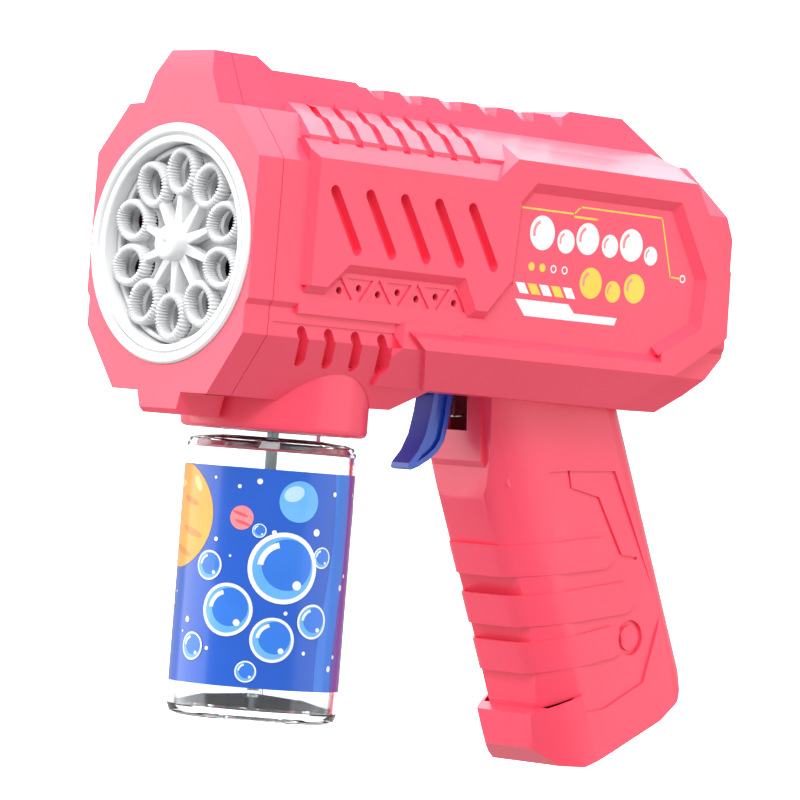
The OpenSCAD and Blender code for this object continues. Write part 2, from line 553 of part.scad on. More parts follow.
module bubble_liquid() color([0.7, 0.9, 1, 0.5]) translate([sock_x, 0, 0]) rotate_extrude() polygon([[2.0, bot_bot + 6.2],
    [9, bot_bot + 5.5], [15.7, bot_bot + 3.2], [17.1, bot_bot + 1.9], [br - 2.7, bot_bot + 1.8], [br - 1.4, bot_bot + 2.9],
    [br - 1.4, -56], [2.0, -56]]);

// ---------- trigger and switch ----------
tw = trigger_w / 2;
module trigger() color([0.12, 0.27, 0.72]) difference() {
  union() {
    xz(-tw, tw) polygon([[88.4, -24], [87.6, -30], [86.9, -35], [85.7, -40.4], [83.6, -44.6], [80.8, -47.8], [80.6, -49.0], [81.6, -49.5],
        [84, -48.6], [87.6, -46.6], [90.4, -44.4], [92.3, -41.6], [93.2, -37], [94.1, -29.6], [94.2, -24]]);
    translate([91, tw, -24]) rotate([90, 0, 0]) cylinder(r = 3.1, h = trigger_w);
    xz(-2, 2) polygon([[90, -26], [90, -22], [107, -22], [107, -24], [96, -26]]);
  }
  // sunk web on both faces
  for (s = [-1, 1]) xz(min(s * (tw - 0.9), s * 9), max(s * (tw - 0.9), s * 9)) polygon([[89.4, -30], [88.5, -35.4], [87.4, -40.8], [85.2, -45.2],
      [83.6, -47.3], [86.8, -45.4], [89.3, -43.4], [90.8, -41.2], [91.6, -37], [92.3, -30]]);
  translate([91, 10, -24]) rotate([90, 0, 0]) cylinder(d = trigger_pin_d + 0.1, h = 20);
}
module trigger_pin() color([0.75, 0.75, 0.78]) translate([91, 11, -24]) rotate([90, 0, 0]) cylinder(d = trigger_pin_d, h = 22);
module trigger_spring() color([0.6, 0.6, 0.62]) translate([99.5, 0, 0]) {
  for (i = [0:5]) translate([0, 0, -21.6 + 1.7 * i]) rotate_extrude() translate([1.7, 0]) circle(r = 0.3);
  for (i = [0:4]) translate([(i % 2) ? 1.7 : -1.7, 0, -21.6 + 1.7 * i]) cylinder(r = 0.28, h = 1.7);
}
module switch_body() color([0.1, 0.1, 0.1]) difference() {
  union() {
    translate([102, -3, -18.4]) cube([12, 6, 10]);
    // carrier that also seats the spring
    translate([96.5, -3, -12.7]) cube([6, 6, 2]);
  }
  translate([105.5, 0, -19]) cylinder(r = 1.25, h = 8.6);
}
module switch_plunger() color([0.8, 0.2, 0.2]) translate([105.5, 0, -21.9]) cylinder(r = 1.2, h = 8.4);
module switch_terminals() color([0.85, 0.8, 0.6]) for (x = [104, 108, 112]) translate([x - 0.3, -1.5, -8.4]) cube([0.6, 3, 4]);

// ---------- batteries ----------
module local() rotate([0, -lean, 0]) children();
bx = [88.5, 103.3];
module battery_box() color([0.25, 0.25, 0.28]) local() difference() {
  translate([79.9, -9.0, -152.2]) cube([32.0, 17.4, 56.4]);
  translate([81.1, -7.6, -151.0]) cube([29.6, 20, 54.0]);
  for (u = bx) translate([u, 0, -150]) cylinder(r = 7.35, h = 51.5);
}
module battery_plates() color([0.85, 0.8, 0.6]) local() for (u = bx)
  translate([u - 4, -4, -97.6]) cube([8, 8, 0.5]);
module battery_springs() color([0.7, 0.7, 0.72]) local() for (u = bx) translate([u, 0, -150.9]) {
  cylinder(r1 = 4.4, r2 = 2.6, h = 2.0);
}
module batteries() color([0.2, 0.5, 0.3]) local() for (u = bx) translate([u, 0, -148.8]) {
  cylinder(r = 7.2, h = 49.3);
  cylinder(r = 2.7, h = 50.6);
}
module battery_door() color(pink) difference() {
  intersection() {
    difference() {
      grip_form();
      grip_form(wall);
    }
    door_zone(0);
  }
  grip_cuts();
  at_door_screw() cylinder(r = 1.3, h = 40);
  at_door_screw() translate([0, 0, grip_half - 1.2]) cylinder(r = 2.6, h = 40);
}
module door_screw() color([0.7, 0.7, 0.72]) difference() {
  union() {
    at_door_screw() translate([0, 0, 5]) cylinder(r = 1.2, h = grip_half - 1.1 - 5);
    at_door_screw() translate([0, 0, grip_half - 1.2]) cylinder(r = 2.4, h = 1.0);
  }
  at_door_screw() translate([-2, -0.3, grip_half - 0.7]) cube([4, 0.6, 2]);
  at_door_screw() translate([-0.3, -2, grip_half - 0.7]) cube([0.6, 4, 2]);
}
module shell_screws() color([0.7, 0.7, 0.72]) for (b = bosses) translate([b[0], 0, b[1]]) rotate([-90, 0, 0]) difference() {
  union() {
    translate([0, 0, -6.6]) cylinder(r = 1.3, h = 13.7);
    translate([0, 0, 7.02]) cylinder(r = 2.7, h = 1.8);
  }
  for (a = [0, 90]) rotate([0, 0, a]) translate([-1.6, -0.3, 8]) cube([3.2, 0.6, 2]);
}
module run(p, r) {
  for (i = [0:len(p) - 2]) rod(p[i], p[i + 1], r);
  for (i = [1:len(p) - 2]) translate(p[i]) sphere(r = r * 1.08);
}
module wire_red() color([0.8, 0.1, 0.1]) run([[124, 4, -43], [124, 4, 5.2], [76.6, 4, 5.2]], 0.6);
module wire_black() color([0.1, 0.1, 0.1]) run([[128, -4, -43], [128, -4, 5.2], [76.6, -4, 5.2]], 0.6);

left_shell();
right_shell();
front_cover();
front_ring();
wheel_backplate();
bubble_wheel();
wheel_shaft();
wheel_gear();
gearbox_front_plate();
gearbox_rear_plate();
gearbox_posts();
idler_pin();
pump_gear();
idler_gear();
motor_pinion();
motor_shaft();
fan_impeller();
fan_shroud();
motor_can();
motor_magnets();
armature();
commutator();
motor_end_cap();
pump_housing();
pump_rotor();
pump_rollers();
pump_hose();
feed_nozzle();
bottle_socket();
socket_seal();
dip_tube();
bottle();
bottle_label();
bubble_liquid();
trigger();
trigger_pin();
trigger_spring();
switch_body();
switch_plunger();
switch_terminals();
battery_box();
battery_springs();
battery_plates();
batteries();
battery_door();
door_screw();
shell_screws();
wire_red();
wire_black();
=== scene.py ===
import json
import math

import bmesh
import bpy
from mathutils import Matrix, Quaternion, Vector


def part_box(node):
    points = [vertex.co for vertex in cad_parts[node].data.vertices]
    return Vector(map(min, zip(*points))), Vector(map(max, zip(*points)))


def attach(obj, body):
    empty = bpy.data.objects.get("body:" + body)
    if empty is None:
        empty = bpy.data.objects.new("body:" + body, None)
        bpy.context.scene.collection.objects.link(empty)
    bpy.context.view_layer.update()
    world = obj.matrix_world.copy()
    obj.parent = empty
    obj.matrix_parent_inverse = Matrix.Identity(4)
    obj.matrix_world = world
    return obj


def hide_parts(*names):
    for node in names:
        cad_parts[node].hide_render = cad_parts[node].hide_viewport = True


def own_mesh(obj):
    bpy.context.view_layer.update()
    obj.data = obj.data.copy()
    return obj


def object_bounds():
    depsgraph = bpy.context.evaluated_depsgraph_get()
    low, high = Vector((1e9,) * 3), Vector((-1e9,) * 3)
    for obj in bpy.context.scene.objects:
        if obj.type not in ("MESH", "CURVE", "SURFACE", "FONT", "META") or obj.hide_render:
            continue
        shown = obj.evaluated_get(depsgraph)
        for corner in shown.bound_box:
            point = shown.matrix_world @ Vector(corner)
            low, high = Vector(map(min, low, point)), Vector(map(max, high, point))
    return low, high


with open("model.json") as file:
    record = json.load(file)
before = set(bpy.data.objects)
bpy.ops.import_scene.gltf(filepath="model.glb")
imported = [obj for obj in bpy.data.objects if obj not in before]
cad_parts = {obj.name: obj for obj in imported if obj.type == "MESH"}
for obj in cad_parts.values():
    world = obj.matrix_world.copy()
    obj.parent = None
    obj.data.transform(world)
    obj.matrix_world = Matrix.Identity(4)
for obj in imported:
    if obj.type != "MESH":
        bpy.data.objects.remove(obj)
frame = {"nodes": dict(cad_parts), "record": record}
cad_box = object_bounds()
N = frame["nodes"]
MM = 0.001


# ------------------------------------------------------------------ helpers
def lin(h, a=1.0):
    h = h.lstrip("#")
    out = []
    for i in (0, 2, 4):
        c = int(h[i:i + 2], 16) / 255
        out.append(c / 12.92 if c <= 0.04045 else ((c + 0.055) / 1.055) ** 2.4)
    return (*out, a)


def new_mat(name):
    m = bpy.data.materials.new(name)
    m.use_nodes = True
    nt = m.node_tree
    return m, nt, nt.nodes["Principled BSDF"]


def set_in(b, **kw):
    names = {"rough": "Roughness", "metal": "Metallic", "ior": "IOR", "coat": "Coat Weight", "coat_rough": "Coat Roughness",
             "trans": "Transmission Weight", "sss": "Subsurface Weight", "spec": "Specular IOR Level", "alpha": "Alpha"}
    for k, v in kw.items():
        b.inputs[names[k]].default_value = v


def plastic(name, col, col2=None, rough=0.36, var=0.04, bump=0.012, grain=2600.0, coat=0.0, sss=0.0, mottle=26.0, metal=0.0, rvar=0.05):
    """Moulded plastic: a slow colour drift, fine mould texture in bump and roughness."""
    m, nt, b = new_mat(name)
    L = nt.links
    tc = nt.nodes.new("ShaderNodeTexCoord")
    n1 = nt.nodes.new("ShaderNodeTexNoise")
    n1.inputs["Scale"].default_value = mottle
    n1.inputs["Detail"].default_value = 3
    n2 = nt.nodes.new("ShaderNodeTexNoise")
    n2.inputs["Scale"].default_value = grain
    n2.inputs["Detail"].default_value = 2
    L.new(tc.outputs["Object"], n1.inputs["Vector"])
    L.new(tc.outputs["Object"], n2.inputs["Vector"])
    c1 = lin(col)
    c2 = lin(col2) if col2 else (*[max(0, c * (1 - var)) for c in c1[:3]], 1)
    mix = nt.nodes.new("ShaderNodeMix")
    mix.data_type = "RGBA"
    ramp = nt.nodes.new("ShaderNodeMapRange")
    ramp.inputs[1].default_value = 0.35
    ramp.inputs[2].default_value = 0.65
    L.new(n1.outputs["Fac"], ramp.inputs[0])
    L.new(ramp.outputs[0], mix.inputs["Factor"])
    mix.inputs["A"].default_value = c1
    mix.inputs["B"].default_value = c2
    L.new(mix.outputs["Result"], b.inputs["Base Color"])
    mr = nt.nodes.new("ShaderNodeMapRange")
    mr.inputs[3].default_value = max(0.02, rough - rvar)
    mr.inputs[4].default_value = min(1, rough + rvar)
    L.new(n2.outputs["Fac"], mr.inputs[0])
    L.new(mr.outputs[0], b.inputs["Roughness"])
    bp = nt.nodes.new("ShaderNodeBump")
    bp.inputs["Strength"].default_value = bump * 10
    bp.inputs["Distance"].default_value = 0.00003
    L.new(n2.outputs["Fac"], bp.inputs["Height"])
    L.new(bp.outputs["Normal"], b.inputs["Normal"])
    set_in(b, coat=coat, coat_rough=0.12, sss=sss, metal=metal)
    if sss:
        b.inputs["Subsurface Radius"].default_value = (1.0, 0.35, 0.3)
        b.inputs["Subsurface Scale"].default_value = 0.0015
    return m


M = {}
M["pink_shell"] = plastic("pink_shell", "#FC4865", "#FA4360", rough=0.37, bump=0.008, coat=0.25, sss=0.0)
M["white_plastic"] = plastic("white_plastic", "#E7E8E9", "#E1E2E3", rough=0.33, bump=0.006, coat=0.15)
M["blue_plastic"] = plastic("blue_plastic", "#0B55D2", "#094DC4", rough=0.24, bump=0.005, coat=0.35)
M["dark_plastic"] = plastic("dark_plastic", "#26262B", "#202024", rough=0.5)
M["gear_plastic"] = plastic("gear_plastic", "#E9E2C4", "#DFD7B4", rough=0.4, sss=0.15)
M["brass"] = plastic("brass", "#C9A24A", "#B8903C", rough=0.28, metal=1.0, bump=0.01)
M["steel"] = plastic("steel", "#B9BBBE", "#A7A9AD", rough=0.27, metal=1.0, bump=0.01)
M["copper_winding"] = plastic("copper_winding", "#B4642C", "#9C5222", rough=0.35, metal=0.7)
M["ferrite"] = plastic("ferrite", "#303033", "#28282B", rough=0.7)
M["clear_hose"] = plastic("clear_hose", "#DCE5E5", "#CFDADA", rough=0.25, sss=0.3)
M["seal_rubber"] = plastic("seal_rubber", "#242426", "#1D1D1F", rough=0.65)
M["battery_case"] = plastic("battery_case", "#2E7B4D", "#276F44", rough=0.3, coat=0.3)
M["wire_red"] = plastic("wire_red", "#C01A1A", "#B01414", rough=0.4)
M["wire_black"] = plastic("wire_black", "#171717", "#101010", rough=0.4)
M["roller_plastic"] = plastic("roller_plastic", "#3A6FC4", "#3366B8", rough=0.35)
M["red_plastic"] = plastic("red_plastic", "#C83232", "#BC2A2A", rough=0.35)


def clear(name, tint, rough=0.03, ior=1.5):
    m, nt, b = new_mat(name)
    b.inputs["Base Color"].default_value = lin(tint)
    set_in(b, rough=rough, trans=1.0, ior=ior)
    tc = nt.nodes.new("ShaderNodeTexCoord")
    n = nt.nodes.new("ShaderNodeTexNoise")
    n.inputs["Scale"].default_value = 60
    bp = nt.nodes.new("ShaderNodeBump")
    bp.inputs["Strength"].default_value = 0.06
    bp.inputs["Distance"].default_value = 0.0004
    nt.links.new(tc.outputs["Object"], n.inputs["Vector"])
    nt.links.new(n.outputs["Fac"], bp.inputs["Height"])
    nt.links.new(bp.outputs["Normal"], b.inputs["Normal"])
    return m


M["clear_bottle"] = clear("clear_bottle", "#E6EAEC")
M["soap_liquid"] = clear("soap_liquid", "#F7FBFC", ior=1.33)
M["label_print"] = plastic("label_print", "#0A5ACB", "#0853C0", rough=0.3, coat=0.4)

slots = {s["node"]: s["material_slot"] for s in frame["record"]["subparts"]}
for name, o in N.items():
    o.data.materials.clear()
    o.data.materials.append(M[slots[name]])


def soften(o, width=0.35, seg=3, angle=28):
    """Moulded edges: joins the CAD facets into faces, then rounds the edges."""
    w = o.modifiers.new("weld", "WELD")
    w.merge_threshold = 2e-6
    d = o.modifiers.new("flat", "DECIMATE")
    d.decimate_type = "DISSOLVE"
    d.angle_limit = math.radians(1.2)
    bv = o.modifiers.new("edge", "BEVEL")
    bv.width = width * MM
    bv.segments = seg
    bv.limit_method = "ANGLE"
    bv.angle_limit = math.radians(angle)
    bv.harden_normals = False
    bv.use_clamp_overlap = True
    wn = o.modifiers.new("wn", "WEIGHTED_NORMAL")
    wn.keep_sharp = True
    for p in o.data.polygons:
        p.use_smooth = True


for name, wdt in {"left_shell": 0.45, "right_shell": 0.45, "front_cover": 0.6, "battery_door": 0.3, "trigger": 0.5}.items():
    soften(N[name], wdt)

# ------------------------------------------------------------------ printed art and fine pieces
def link(name, me, mat, body):
    o = bpy.data.objects.new(name, me)
    bpy.context.scene.collection.objects.link(o)
    me.materials.append(mat)
    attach(o, body)
    return o


def ink(name, col, col2=None, rough=0.3):
    return plastic(name, col, col2, rough=rough, bump=0.002, coat=0.35, mottle=60.0, rvar=0.02)


INK = {
    "white": ink("ink_white", "#F4F6F4", "#ECEFEC"), "yellow": ink("ink_yellow", "#FFD23C", "#FBCB30"),
    "blue": ink("ink_blue", "#0F5CD2", "#0F66DE"), "deep": ink("ink_deep", "#0B3FA8", "#0A3694"),
    "orange": ink("ink_orange", "#F7B33C", "#F2A62C"), "amber": ink("ink_amber", "#E8912A", "#E0861E"),
    "cream": ink("ink_cream", "#FFD98A", "#FFD07A"), "rose": ink("ink_rose", "#FF8F94", "#F87F88"),
    "rose2": ink("ink_rose2", "#E8596C", "#E25064"), "sky": ink("ink_sky", "#6DB8F4", "#5CABF0"),
    "pale": ink("ink_pale", "#BFE2FB", "#AFD9F8"), "violet": ink("ink_violet", "#6A4FB5", "#5D43A8"),
    # the dark red slot entry is painted shade for the slot floors, not ink; no piece uses it
    "mid": ink("ink_mid", "#2B7BE4", "#2674DE"), "slot_painted_shade": ink("ink_slot_painted_shade", "#C2103A", "#B40E35", rough=0.5),
}


def ell(cx, cy, rx, ry=None, n=48, rot=0.0):
    ry = ry or rx
    c, s_ = math.cos(rot), math.sin(rot)
    out = []
    for i in range(n):
        t = 2 * math.pi * i / n
        x, y = rx * math.cos(t), ry * math.sin(t)
        out.append((cx + c * x - s_ * y, cy + s_ * x + c * y))
    return out


def fine(pts, step):
    out = []
    for i, p in enumerate(pts):
        q = pts[(i + 1) % len(pts)]
        k = max(1, int(math.ceil(math.dist(p, q) / step)))
        out += [(p[0] + (q[0] - p[0]) * j / k, p[1] + (q[1] - p[1]) * j / k) for j in range(k)]
    return out


def flat_mesh(name, shapes, place, thick, step=None):
    """Closed thin plates: each outline is triangulated, given a thickness, and placed by place(u, v, w)."""
    bm = bmesh.new()
    for pts in shapes:
        if step:
            pts = fine(pts, step)
        vs = [bm.verts.new((u, v, 0)) for u, v in pts]
        f = bm.faces.new(vs)
        f.normal_update()
        if f.normal.z < 0:
            f.normal_flip()
    if step:
        lo = min(v.co.x for v in bm.verts)
        hi = max(v.co.x for v in bm.verts)
        bmesh.ops.triangulate(bm, faces=bm.faces[:])
        k = math.floor(lo / step) + 1
        while k * step < hi:
            geo = bm.verts[:] + bm.edges[:] + bm.faces[:]
            bmesh.ops.bisect_plane(bm, geom=geo, plane_co=(k * step, 0, 0), plane_no=(1, 0, 0), dist=1e-7)
            k += 1
    bmesh.ops.triangulate(bm, faces=bm.faces[:])
    top = bm.faces[:]
    ext = bmesh.ops.extrude_face_region(bm, geom=top)
    up = [g for g in ext["geom"] if isinstance(g, bmesh.types.BMVert)]
    for v in up:
        v.co.z = thick
    bmesh.ops.recalc_face_normals(bm, faces=bm.faces[:])
    for v in bm.verts:
        v.co = Vector(place(*v.co)) * MM
    me = bpy.data.meshes.new(name)
    bm.to_mesh(me)
    bm.free()
    if me.polygons:
        bm = bmesh.new()
        bm.from_mesh(me)
        bmesh.ops.recalc_face_normals(bm, faces=bm.faces[:])
        bm.to_mesh(me)
        bm.free()
    return me


def ring(cx, cy, r, w, n=40, a0=0.0, a1=360.0):
    full = abs(a1 - a0) >= 360
    k = n if full else max(6, int(n * abs(a1 - a0) / 360))
    outs = []
    for i in range(k):
        t0 = math.radians(a0 + (a1 - a0) * i / k)
        t1 = math.radians(a0 + (a1 - a0) * (i + 1) / k)
        outs.append([(cx + (r - w / 2) * math.cos(t0), cy + (r - w / 2) * math.sin(t0)), (cx + (r + w / 2) * math.cos(t0), cy + (r + w / 2) * math.sin(t0)),
                     (cx + (r + w / 2) * math.cos(t1), cy + (r + w / 2) * math.sin(t1)), (cx + (r - w / 2) * math.cos(t1), cy + (r - w / 2) * math.sin(t1))])
    return outs


def line(pts, w):
    outs = []
    for p, q in zip(pts, pts[1:]):
        d = math.dist(p, q)
        nx, ny = -(q[1] - p[1]) / d * w / 2, (q[0] - p[0]) / d * w / 2
        outs.append([(p[0] + nx, p[1] + ny), (p[0] - nx, p[1] - ny), (q[0] - nx, q[1] - ny), (q[0] + nx, q[1] + ny)])
        outs.append(ell(q[0], q[1], w / 2, n=10))
    return outs


# ---- side print, on the floor of the side recess
FLOOR = 29.7
bub = lambda x, z, r: [ell(x, z, r)]
art_white = []
art_yellow = []
art_pink = []
# large round bubbles in two rows, where the photograph has its print
for x, z, r in ((95.0, 11.6, 4.3), (103.4, 10.2, 3.0), (111.0, 11.5, 4.0), (119.0, 10.4, 2.9), (126.6, 11.3, 4.1), (133.8, 9.2, 2.4)):
    art_white += bub(x, z, r)
    art_pink += ring(x, z, r * 0.66, r * 0.2, a0=110, a1=200)
for x, z, r in ((113.2, 0.6, 3.9), (121.2, -0.9, 2.7), (128.8, 0.5, 3.7)):
    art_yellow += bub(x, z, r)
    art_pink += ring(x, z, r * 0.66, r * 0.2, a0=110, a1=200)
art_yellow += line([(87.4, 17.3), (105.6, 17.3), (107.7, 19.2), (137.0, 19.1), (141.5, 4.5), (145.0, 4.4)], 0.42)
art_yellow += line([(105.6, 16.6), (114.0, 16.6)], 0.55)
art_white += ring(146.0, 4.4, 0.85, 0.4)
art_yellow += bub(92.1, 3.0, 1.05) + bub(95.9, 3.0, 1.05)
art_white += ring(99.8, 3.0, 0.85, 0.35) + ring(103.7, 3.0, 0.85, 0.35)
for i in range(5):
    x = 87.0 + 4.1 * i
    q = [(x, -1.2), (x + 3.1, -1.2), (x + 4.9, -3.8), (x + 1.8, -3.8)]
    (art_white if i % 2 == 0 else art_yellow).append(q)
art_white.append([(87.3, -5.3), (105.9, -5.3), (108.1, -7.4), (123.4, -7.4), (122.6, -9.3), (90.9, -9.3)])
for side, sgn in (("left", -1), ("right", 1)):
    pl = lambda u, v, w_, s_=sgn: (u, s_ * (FLOOR + 0.01 + w_), v)
    pl2 = lambda u, v, w_, s_=sgn: (u, s_ * (FLOOR + 0.05 + w_), v)
    if side == "right":
        continue
    link("side_print_white", flat_mesh("side_print_white", art_white, pl, 0.03), INK["white"], "housing")
    link("side_print_yellow", flat_mesh("side_print_yellow", art_yellow, lambda u, v, w_: (u, -(FLOOR + 0.012 + w_), v), 0.032), INK["yellow"], "housing")
    link("side_print_glints", flat_mesh("side_print_glints", art_pink, pl2, 0.02), INK["rose"], "housing")

# ---- 45 degree slopes along the edge of the side recess, between its floor and the raised panel
edge = [(17.2, -7.8), (23.1, -7.8), (29.7, -1.9), (68.2, -1.9), (72.4, -9.4), (76.3, -9.4), (84, -1), (85.1, 18.5), (90.1, 23.5),
        (141.7, 23.5), (153, 5), (152, -8), (137.5, -15.6)]
P_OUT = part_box("left_shell")[0].y / MM


def nrm(a, b):
    d = math.dist(a, b)
    return ((b[1] - a[1]) / d, -(b[0] - a[0]) / d)


def mitre(i, dist):
    if i == 0:
        n_ = nrm(edge[0], edge[1])
        return (edge[i][0] + n_[0] * dist, edge[i][1] + n_[1] * dist)
    if i == len(edge) - 1:
        n_ = nrm(edge[-2], edge[-1])
        return (edge[i][0] + n_[0] * dist, edge[i][1] + n_[1] * dist)
    a, b = nrm(edge[i - 1], edge[i]), nrm(edge[i], edge[i + 1])
    k = 1 + a[0] * b[0] + a[1] * b[1]
    return (edge[i][0] + (a[0] + b[0]) / k * dist, edge[i][1] + (a[1] + b[1]) / k * dist)


def wedge_strip(name, sgn, i0, i1, dist):
    bm = bmesh.new()
    rows_ = []
    for i in range(i0, i1 + 1):
        o_, q_ = mitre(i, 0.02), mitre(i, dist)
        rows_.append([bm.verts.new((o_[0] * MM, sgn * (FLOOR + 0.012) * MM, o_[1] * MM)),
                      bm.verts.new((q_[0] * MM, sgn * (FLOOR + 0.012) * MM, q_[1] * MM)),
                      bm.verts.new((q_[0] * MM, sgn * (FLOOR + 0.05) * MM, q_[1] * MM)),
                      bm.verts.new((o_[0] * MM, sgn * (FLOOR + 1.93) * MM, o_[1] * MM))])
    for r0, r1 in zip(rows_, rows_[1:]):
        for k in range(4):
            bm.faces.new((r0[k], r0[(k + 1) % 4], r1[(k + 1) % 4], r1[k]))
    bm.faces.new(rows_[0])
    bm.faces.new(rows_[-1][::-1])
    bmesh.ops.recalc_face_normals(bm, faces=bm.faces[:])
    me_ = bpy.data.meshes.new(name)
    bm.to_mesh(me_)
    bm.free()
    return link(name, me_, M["pink_shell"], "housing")


for side, sgn in (("left", -1), ("right", 1)):
    wedge_strip(side + "_slope_front", sgn, 0, 6, 1.9)
    wedge_strip(side + "_slope_field", sgn, 6, 12, 2.3)

# ---- label art on the bottle
BR = (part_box("bottle_label")[1].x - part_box("bottle_label")[0].x) / 2 / MM
BX = (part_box("bottle_label")[1].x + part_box("bottle_label")[0].x) / 2 / MM
FACE = math.radians(228.3)
ZT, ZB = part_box("bottle_label")[1].z / MM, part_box("bottle_label")[0].z / MM


def on_label(level):
    def place(u, v, w_):
        t = FACE + u / 20.7
        r = BR + 0.01 + 0.025 * level + w_
        return (BX + r * math.cos(t), r * math.sin(t), v)
    return place


def deg(f):
    return math.radians(f) * 20.7


def clip(pts):
    return [(u, min(max(v, ZB + 0.1), ZT - 0.1)) for u, v in pts]


def label(name, shapes, level, col, body="bottle_unit"):
    link("label_" + name, flat_mesh("label_" + name, [clip(p) for p in shapes], on_label(level), 0.02, 1.2), INK[col], body)


def wave(u0, u1, amp, ph, n=24):
    zs = [ZT - 0.1 - (ZT - ZB - 0.2) * i / n for i in range(n + 1)]
    a_ = [(u0 + amp * math.sin(ph + 0.09 * (ZT - z)), z) for z in zs]
    b_ = [(u1 + amp * math.sin(ph + 0.09 * (ZT - z)), z) for z in zs]
    return a_ + b_[::-1]


label("band_mid", [wave(deg(48), deg(66), 1.6, 0.4), wave(deg(-118), deg(-96), 2.0, 1.1)], 0, "mid")
label("band_violet", [wave(deg(66), deg(84), 1.6, 0.4), wave(deg(150), deg(172), 2.0, 2.2)], 1, "violet")
label("sun", [ell(deg(-74), -64.6, 13.0, 12.8), ell(deg(140), -86, 9.5)], 2, "orange")
label("sun_bands", [ell(deg(-62), -61.0, 3.6, 0.8, rot=-0.25), ell(deg(-58), -68.5, 4.2, 0.9, rot=-0.25), ell(deg(-70), -73.2, 4.6, 0.8, rot=-0.25),
                    ell(deg(138), -84, 4.2, 0.9, rot=-0.2), ell(deg(143), -89, 3.6, 0.8, rot=-0.2)], 3, "amber")
label("sun_glow", [ell(deg(-54), -56.8, 2.2, 1.1, rot=-0.9), ell(deg(-80), -57.0, 3.2, 0.9)], 3, "cream")
label("small_ball", [ell(deg(-16.5), -64.2, 2.9), ell(deg(100), -62, 4.0)], 3, "rose")
label("small_ball_bands", [ell(deg(-17.5), -63.3, 2.0, 0.4, rot=-0.3), ell(deg(-15.5), -65.4, 2.1, 0.4, rot=-0.3), ell(deg(100), -61.6, 2.8, 0.5, rot=-0.3)], 4, "rose2")
label("pale_ball", [ell(deg(21.5), -59.4, 5.0), ell(deg(-150), -66, 5.6)], 2, "sky")
label("pale_ball_glow", [ell(deg(17.5), -57.6, 2.6, 1.8, rot=0.4), ell(deg(-153), -64, 2.8, 2.0, rot=0.4)], 3, "pale")
# a cluster of soap bubbles in the middle of the label
big = ((deg(14), -75.6, 8.6), (deg(-22), -86.5, 6.4), (deg(10), -93.0, 5.4), (deg(-38), -76.2, 3.6), (deg(38), -88.0, 4.2), (deg(-6), -101.0, 2.6),
       (deg(-48), -96.0, 3.4), (deg(42), -72.5, 2.6), (deg(-4), -67.0, 1.7), (deg(180), -70, 7.0), (deg(196), -84, 4.6), (deg(172), -95, 5.4))
rings, glints, inner = [], [], []
for u, z, r in big:
    inner.append(ell(u, z, r))
    rings += ring(u, z, r * 0.94, r * 0.13)
    glints += ring(u, z, r * 0.66, r * 0.16, a0=105, a1=175) + [ell(u + r * 0.42, z - r * 0.46, r * 0.13)]
label("bubbles", inner, 4, "sky")
label("bubble_depth", [ell(u + r * 0.10, z + r * 0.10, r * 0.72) for u, z, r in big], 5, "mid")
label("bubble_rims", rings, 6, "white")
label("bubble_glints", glints, 6, "white")
stars = []
for i in range(70):
    u = deg((i * 137.508) % 360 - 180)
    z = ZT - 2.0 - ((i * 61.8034) % (ZT - ZB - 4))
    if any(math.dist((u, z), (b_[0], b_[1])) < b_[2] + 1.3 for b_ in big) or math.dist((u, z), (deg(-74), -64.6)) < 14:
        continue
    if math.dist((u, z), (deg(21.5), -59.4)) < 6.2 or math.dist((u, z), (deg(-16.5), -64.2)) < 4.0:
        continue
    stars.append(ell(u, z, (0.34, 0.5, 0.78)[i % 3], n=12))
for f_, z, r in ((-6, -55.2, 0.7), (50, -57.0, 0.62), (-38, -55.0, 0.4), (36, -66.5, 0.9), (6, -67.2, 0.6), (-34, -69.8, 0.55)):
    stars.append(ell(deg(f_), z, r, n=14))
label("stars", stars, 3, "white")

# ---- finely ribbed loops of the bubble wheel
wl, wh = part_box("bubble_wheel")
LOOPS, LOOP_R = 10, 17.5


def loop_mesh(bm, ang, a, b, x0, x1, ribs):
    seg, prof_n = ribs * 6, 14
    ca, sa = math.cos(ang), math.sin(ang)
    grid_ = []
    for i in range(seg):
        t = 2 * math.pi * i / seg
        k = 0.5 + 0.5 * math.cos(ribs * t)
        g = 0.78 * (1 - k) ** 1.4
        row_ = []
        for j in range(prof_n):
            p = 2 * math.pi * j / prof_n
            cp, sp = math.cos(p), math.sin(p)
            # super-ellipse: half width 0.86 across the rim, half depth along the axis
            q = 2.6
            rr = (abs(cp) ** q + abs(sp) ** q) ** (-1 / q)
            w_ = (0.98 - g * 0.55) * rr * cp
            d_ = ((x1 - x0) / 2 - g * 0.7) * rr * sp
            y = (a + w_) * math.cos(t)
            z = (b + w_) * math.sin(t) + LOOP_R
            x = (x0 + x1) / 2 + d_
            row_.append(bm.verts.new((x * MM, (y * ca - z * sa) * MM, (y * sa + z * ca) * MM)))
        grid_.append(row_)
    for i in range(seg):
        for j in range(prof_n):
            f = bm.faces.new((grid_[i][j], grid_[(i + 1) % seg][j], grid_[(i + 1) % seg][(j + 1) % prof_n], grid_[i][(j + 1) % prof_n]))
            f.smooth = True


bm = bmesh.new()
for i in range(LOOPS):
    loop_mesh(bm, 2 * math.pi * i / LOOPS, 4.25, 5.0, 0.75, 5.2, 36)


def turned(bm_, prof, n=96):
    """Closed turned piece about the X axis from (x, r) pairs, first and last on or off the axis."""
    rows_ = []
    for x, r in prof:
        rows_.append([bm_.verts.new((x * MM, r * math.sin(2 * math.pi * i / n) * MM, r * math.cos(2 * math.pi * i / n) * MM)) for i in range(n)])
    m_ = len(rows_)
    for k in range(m_):
        r0, r1 = rows_[k], rows_[(k + 1) % m_]
        for i in range(n):
            f_ = bm_.faces.new((r0[i], r0[(i + 1) % n], r1[(i + 1) % n], r1[i]))
            f_.smooth = True


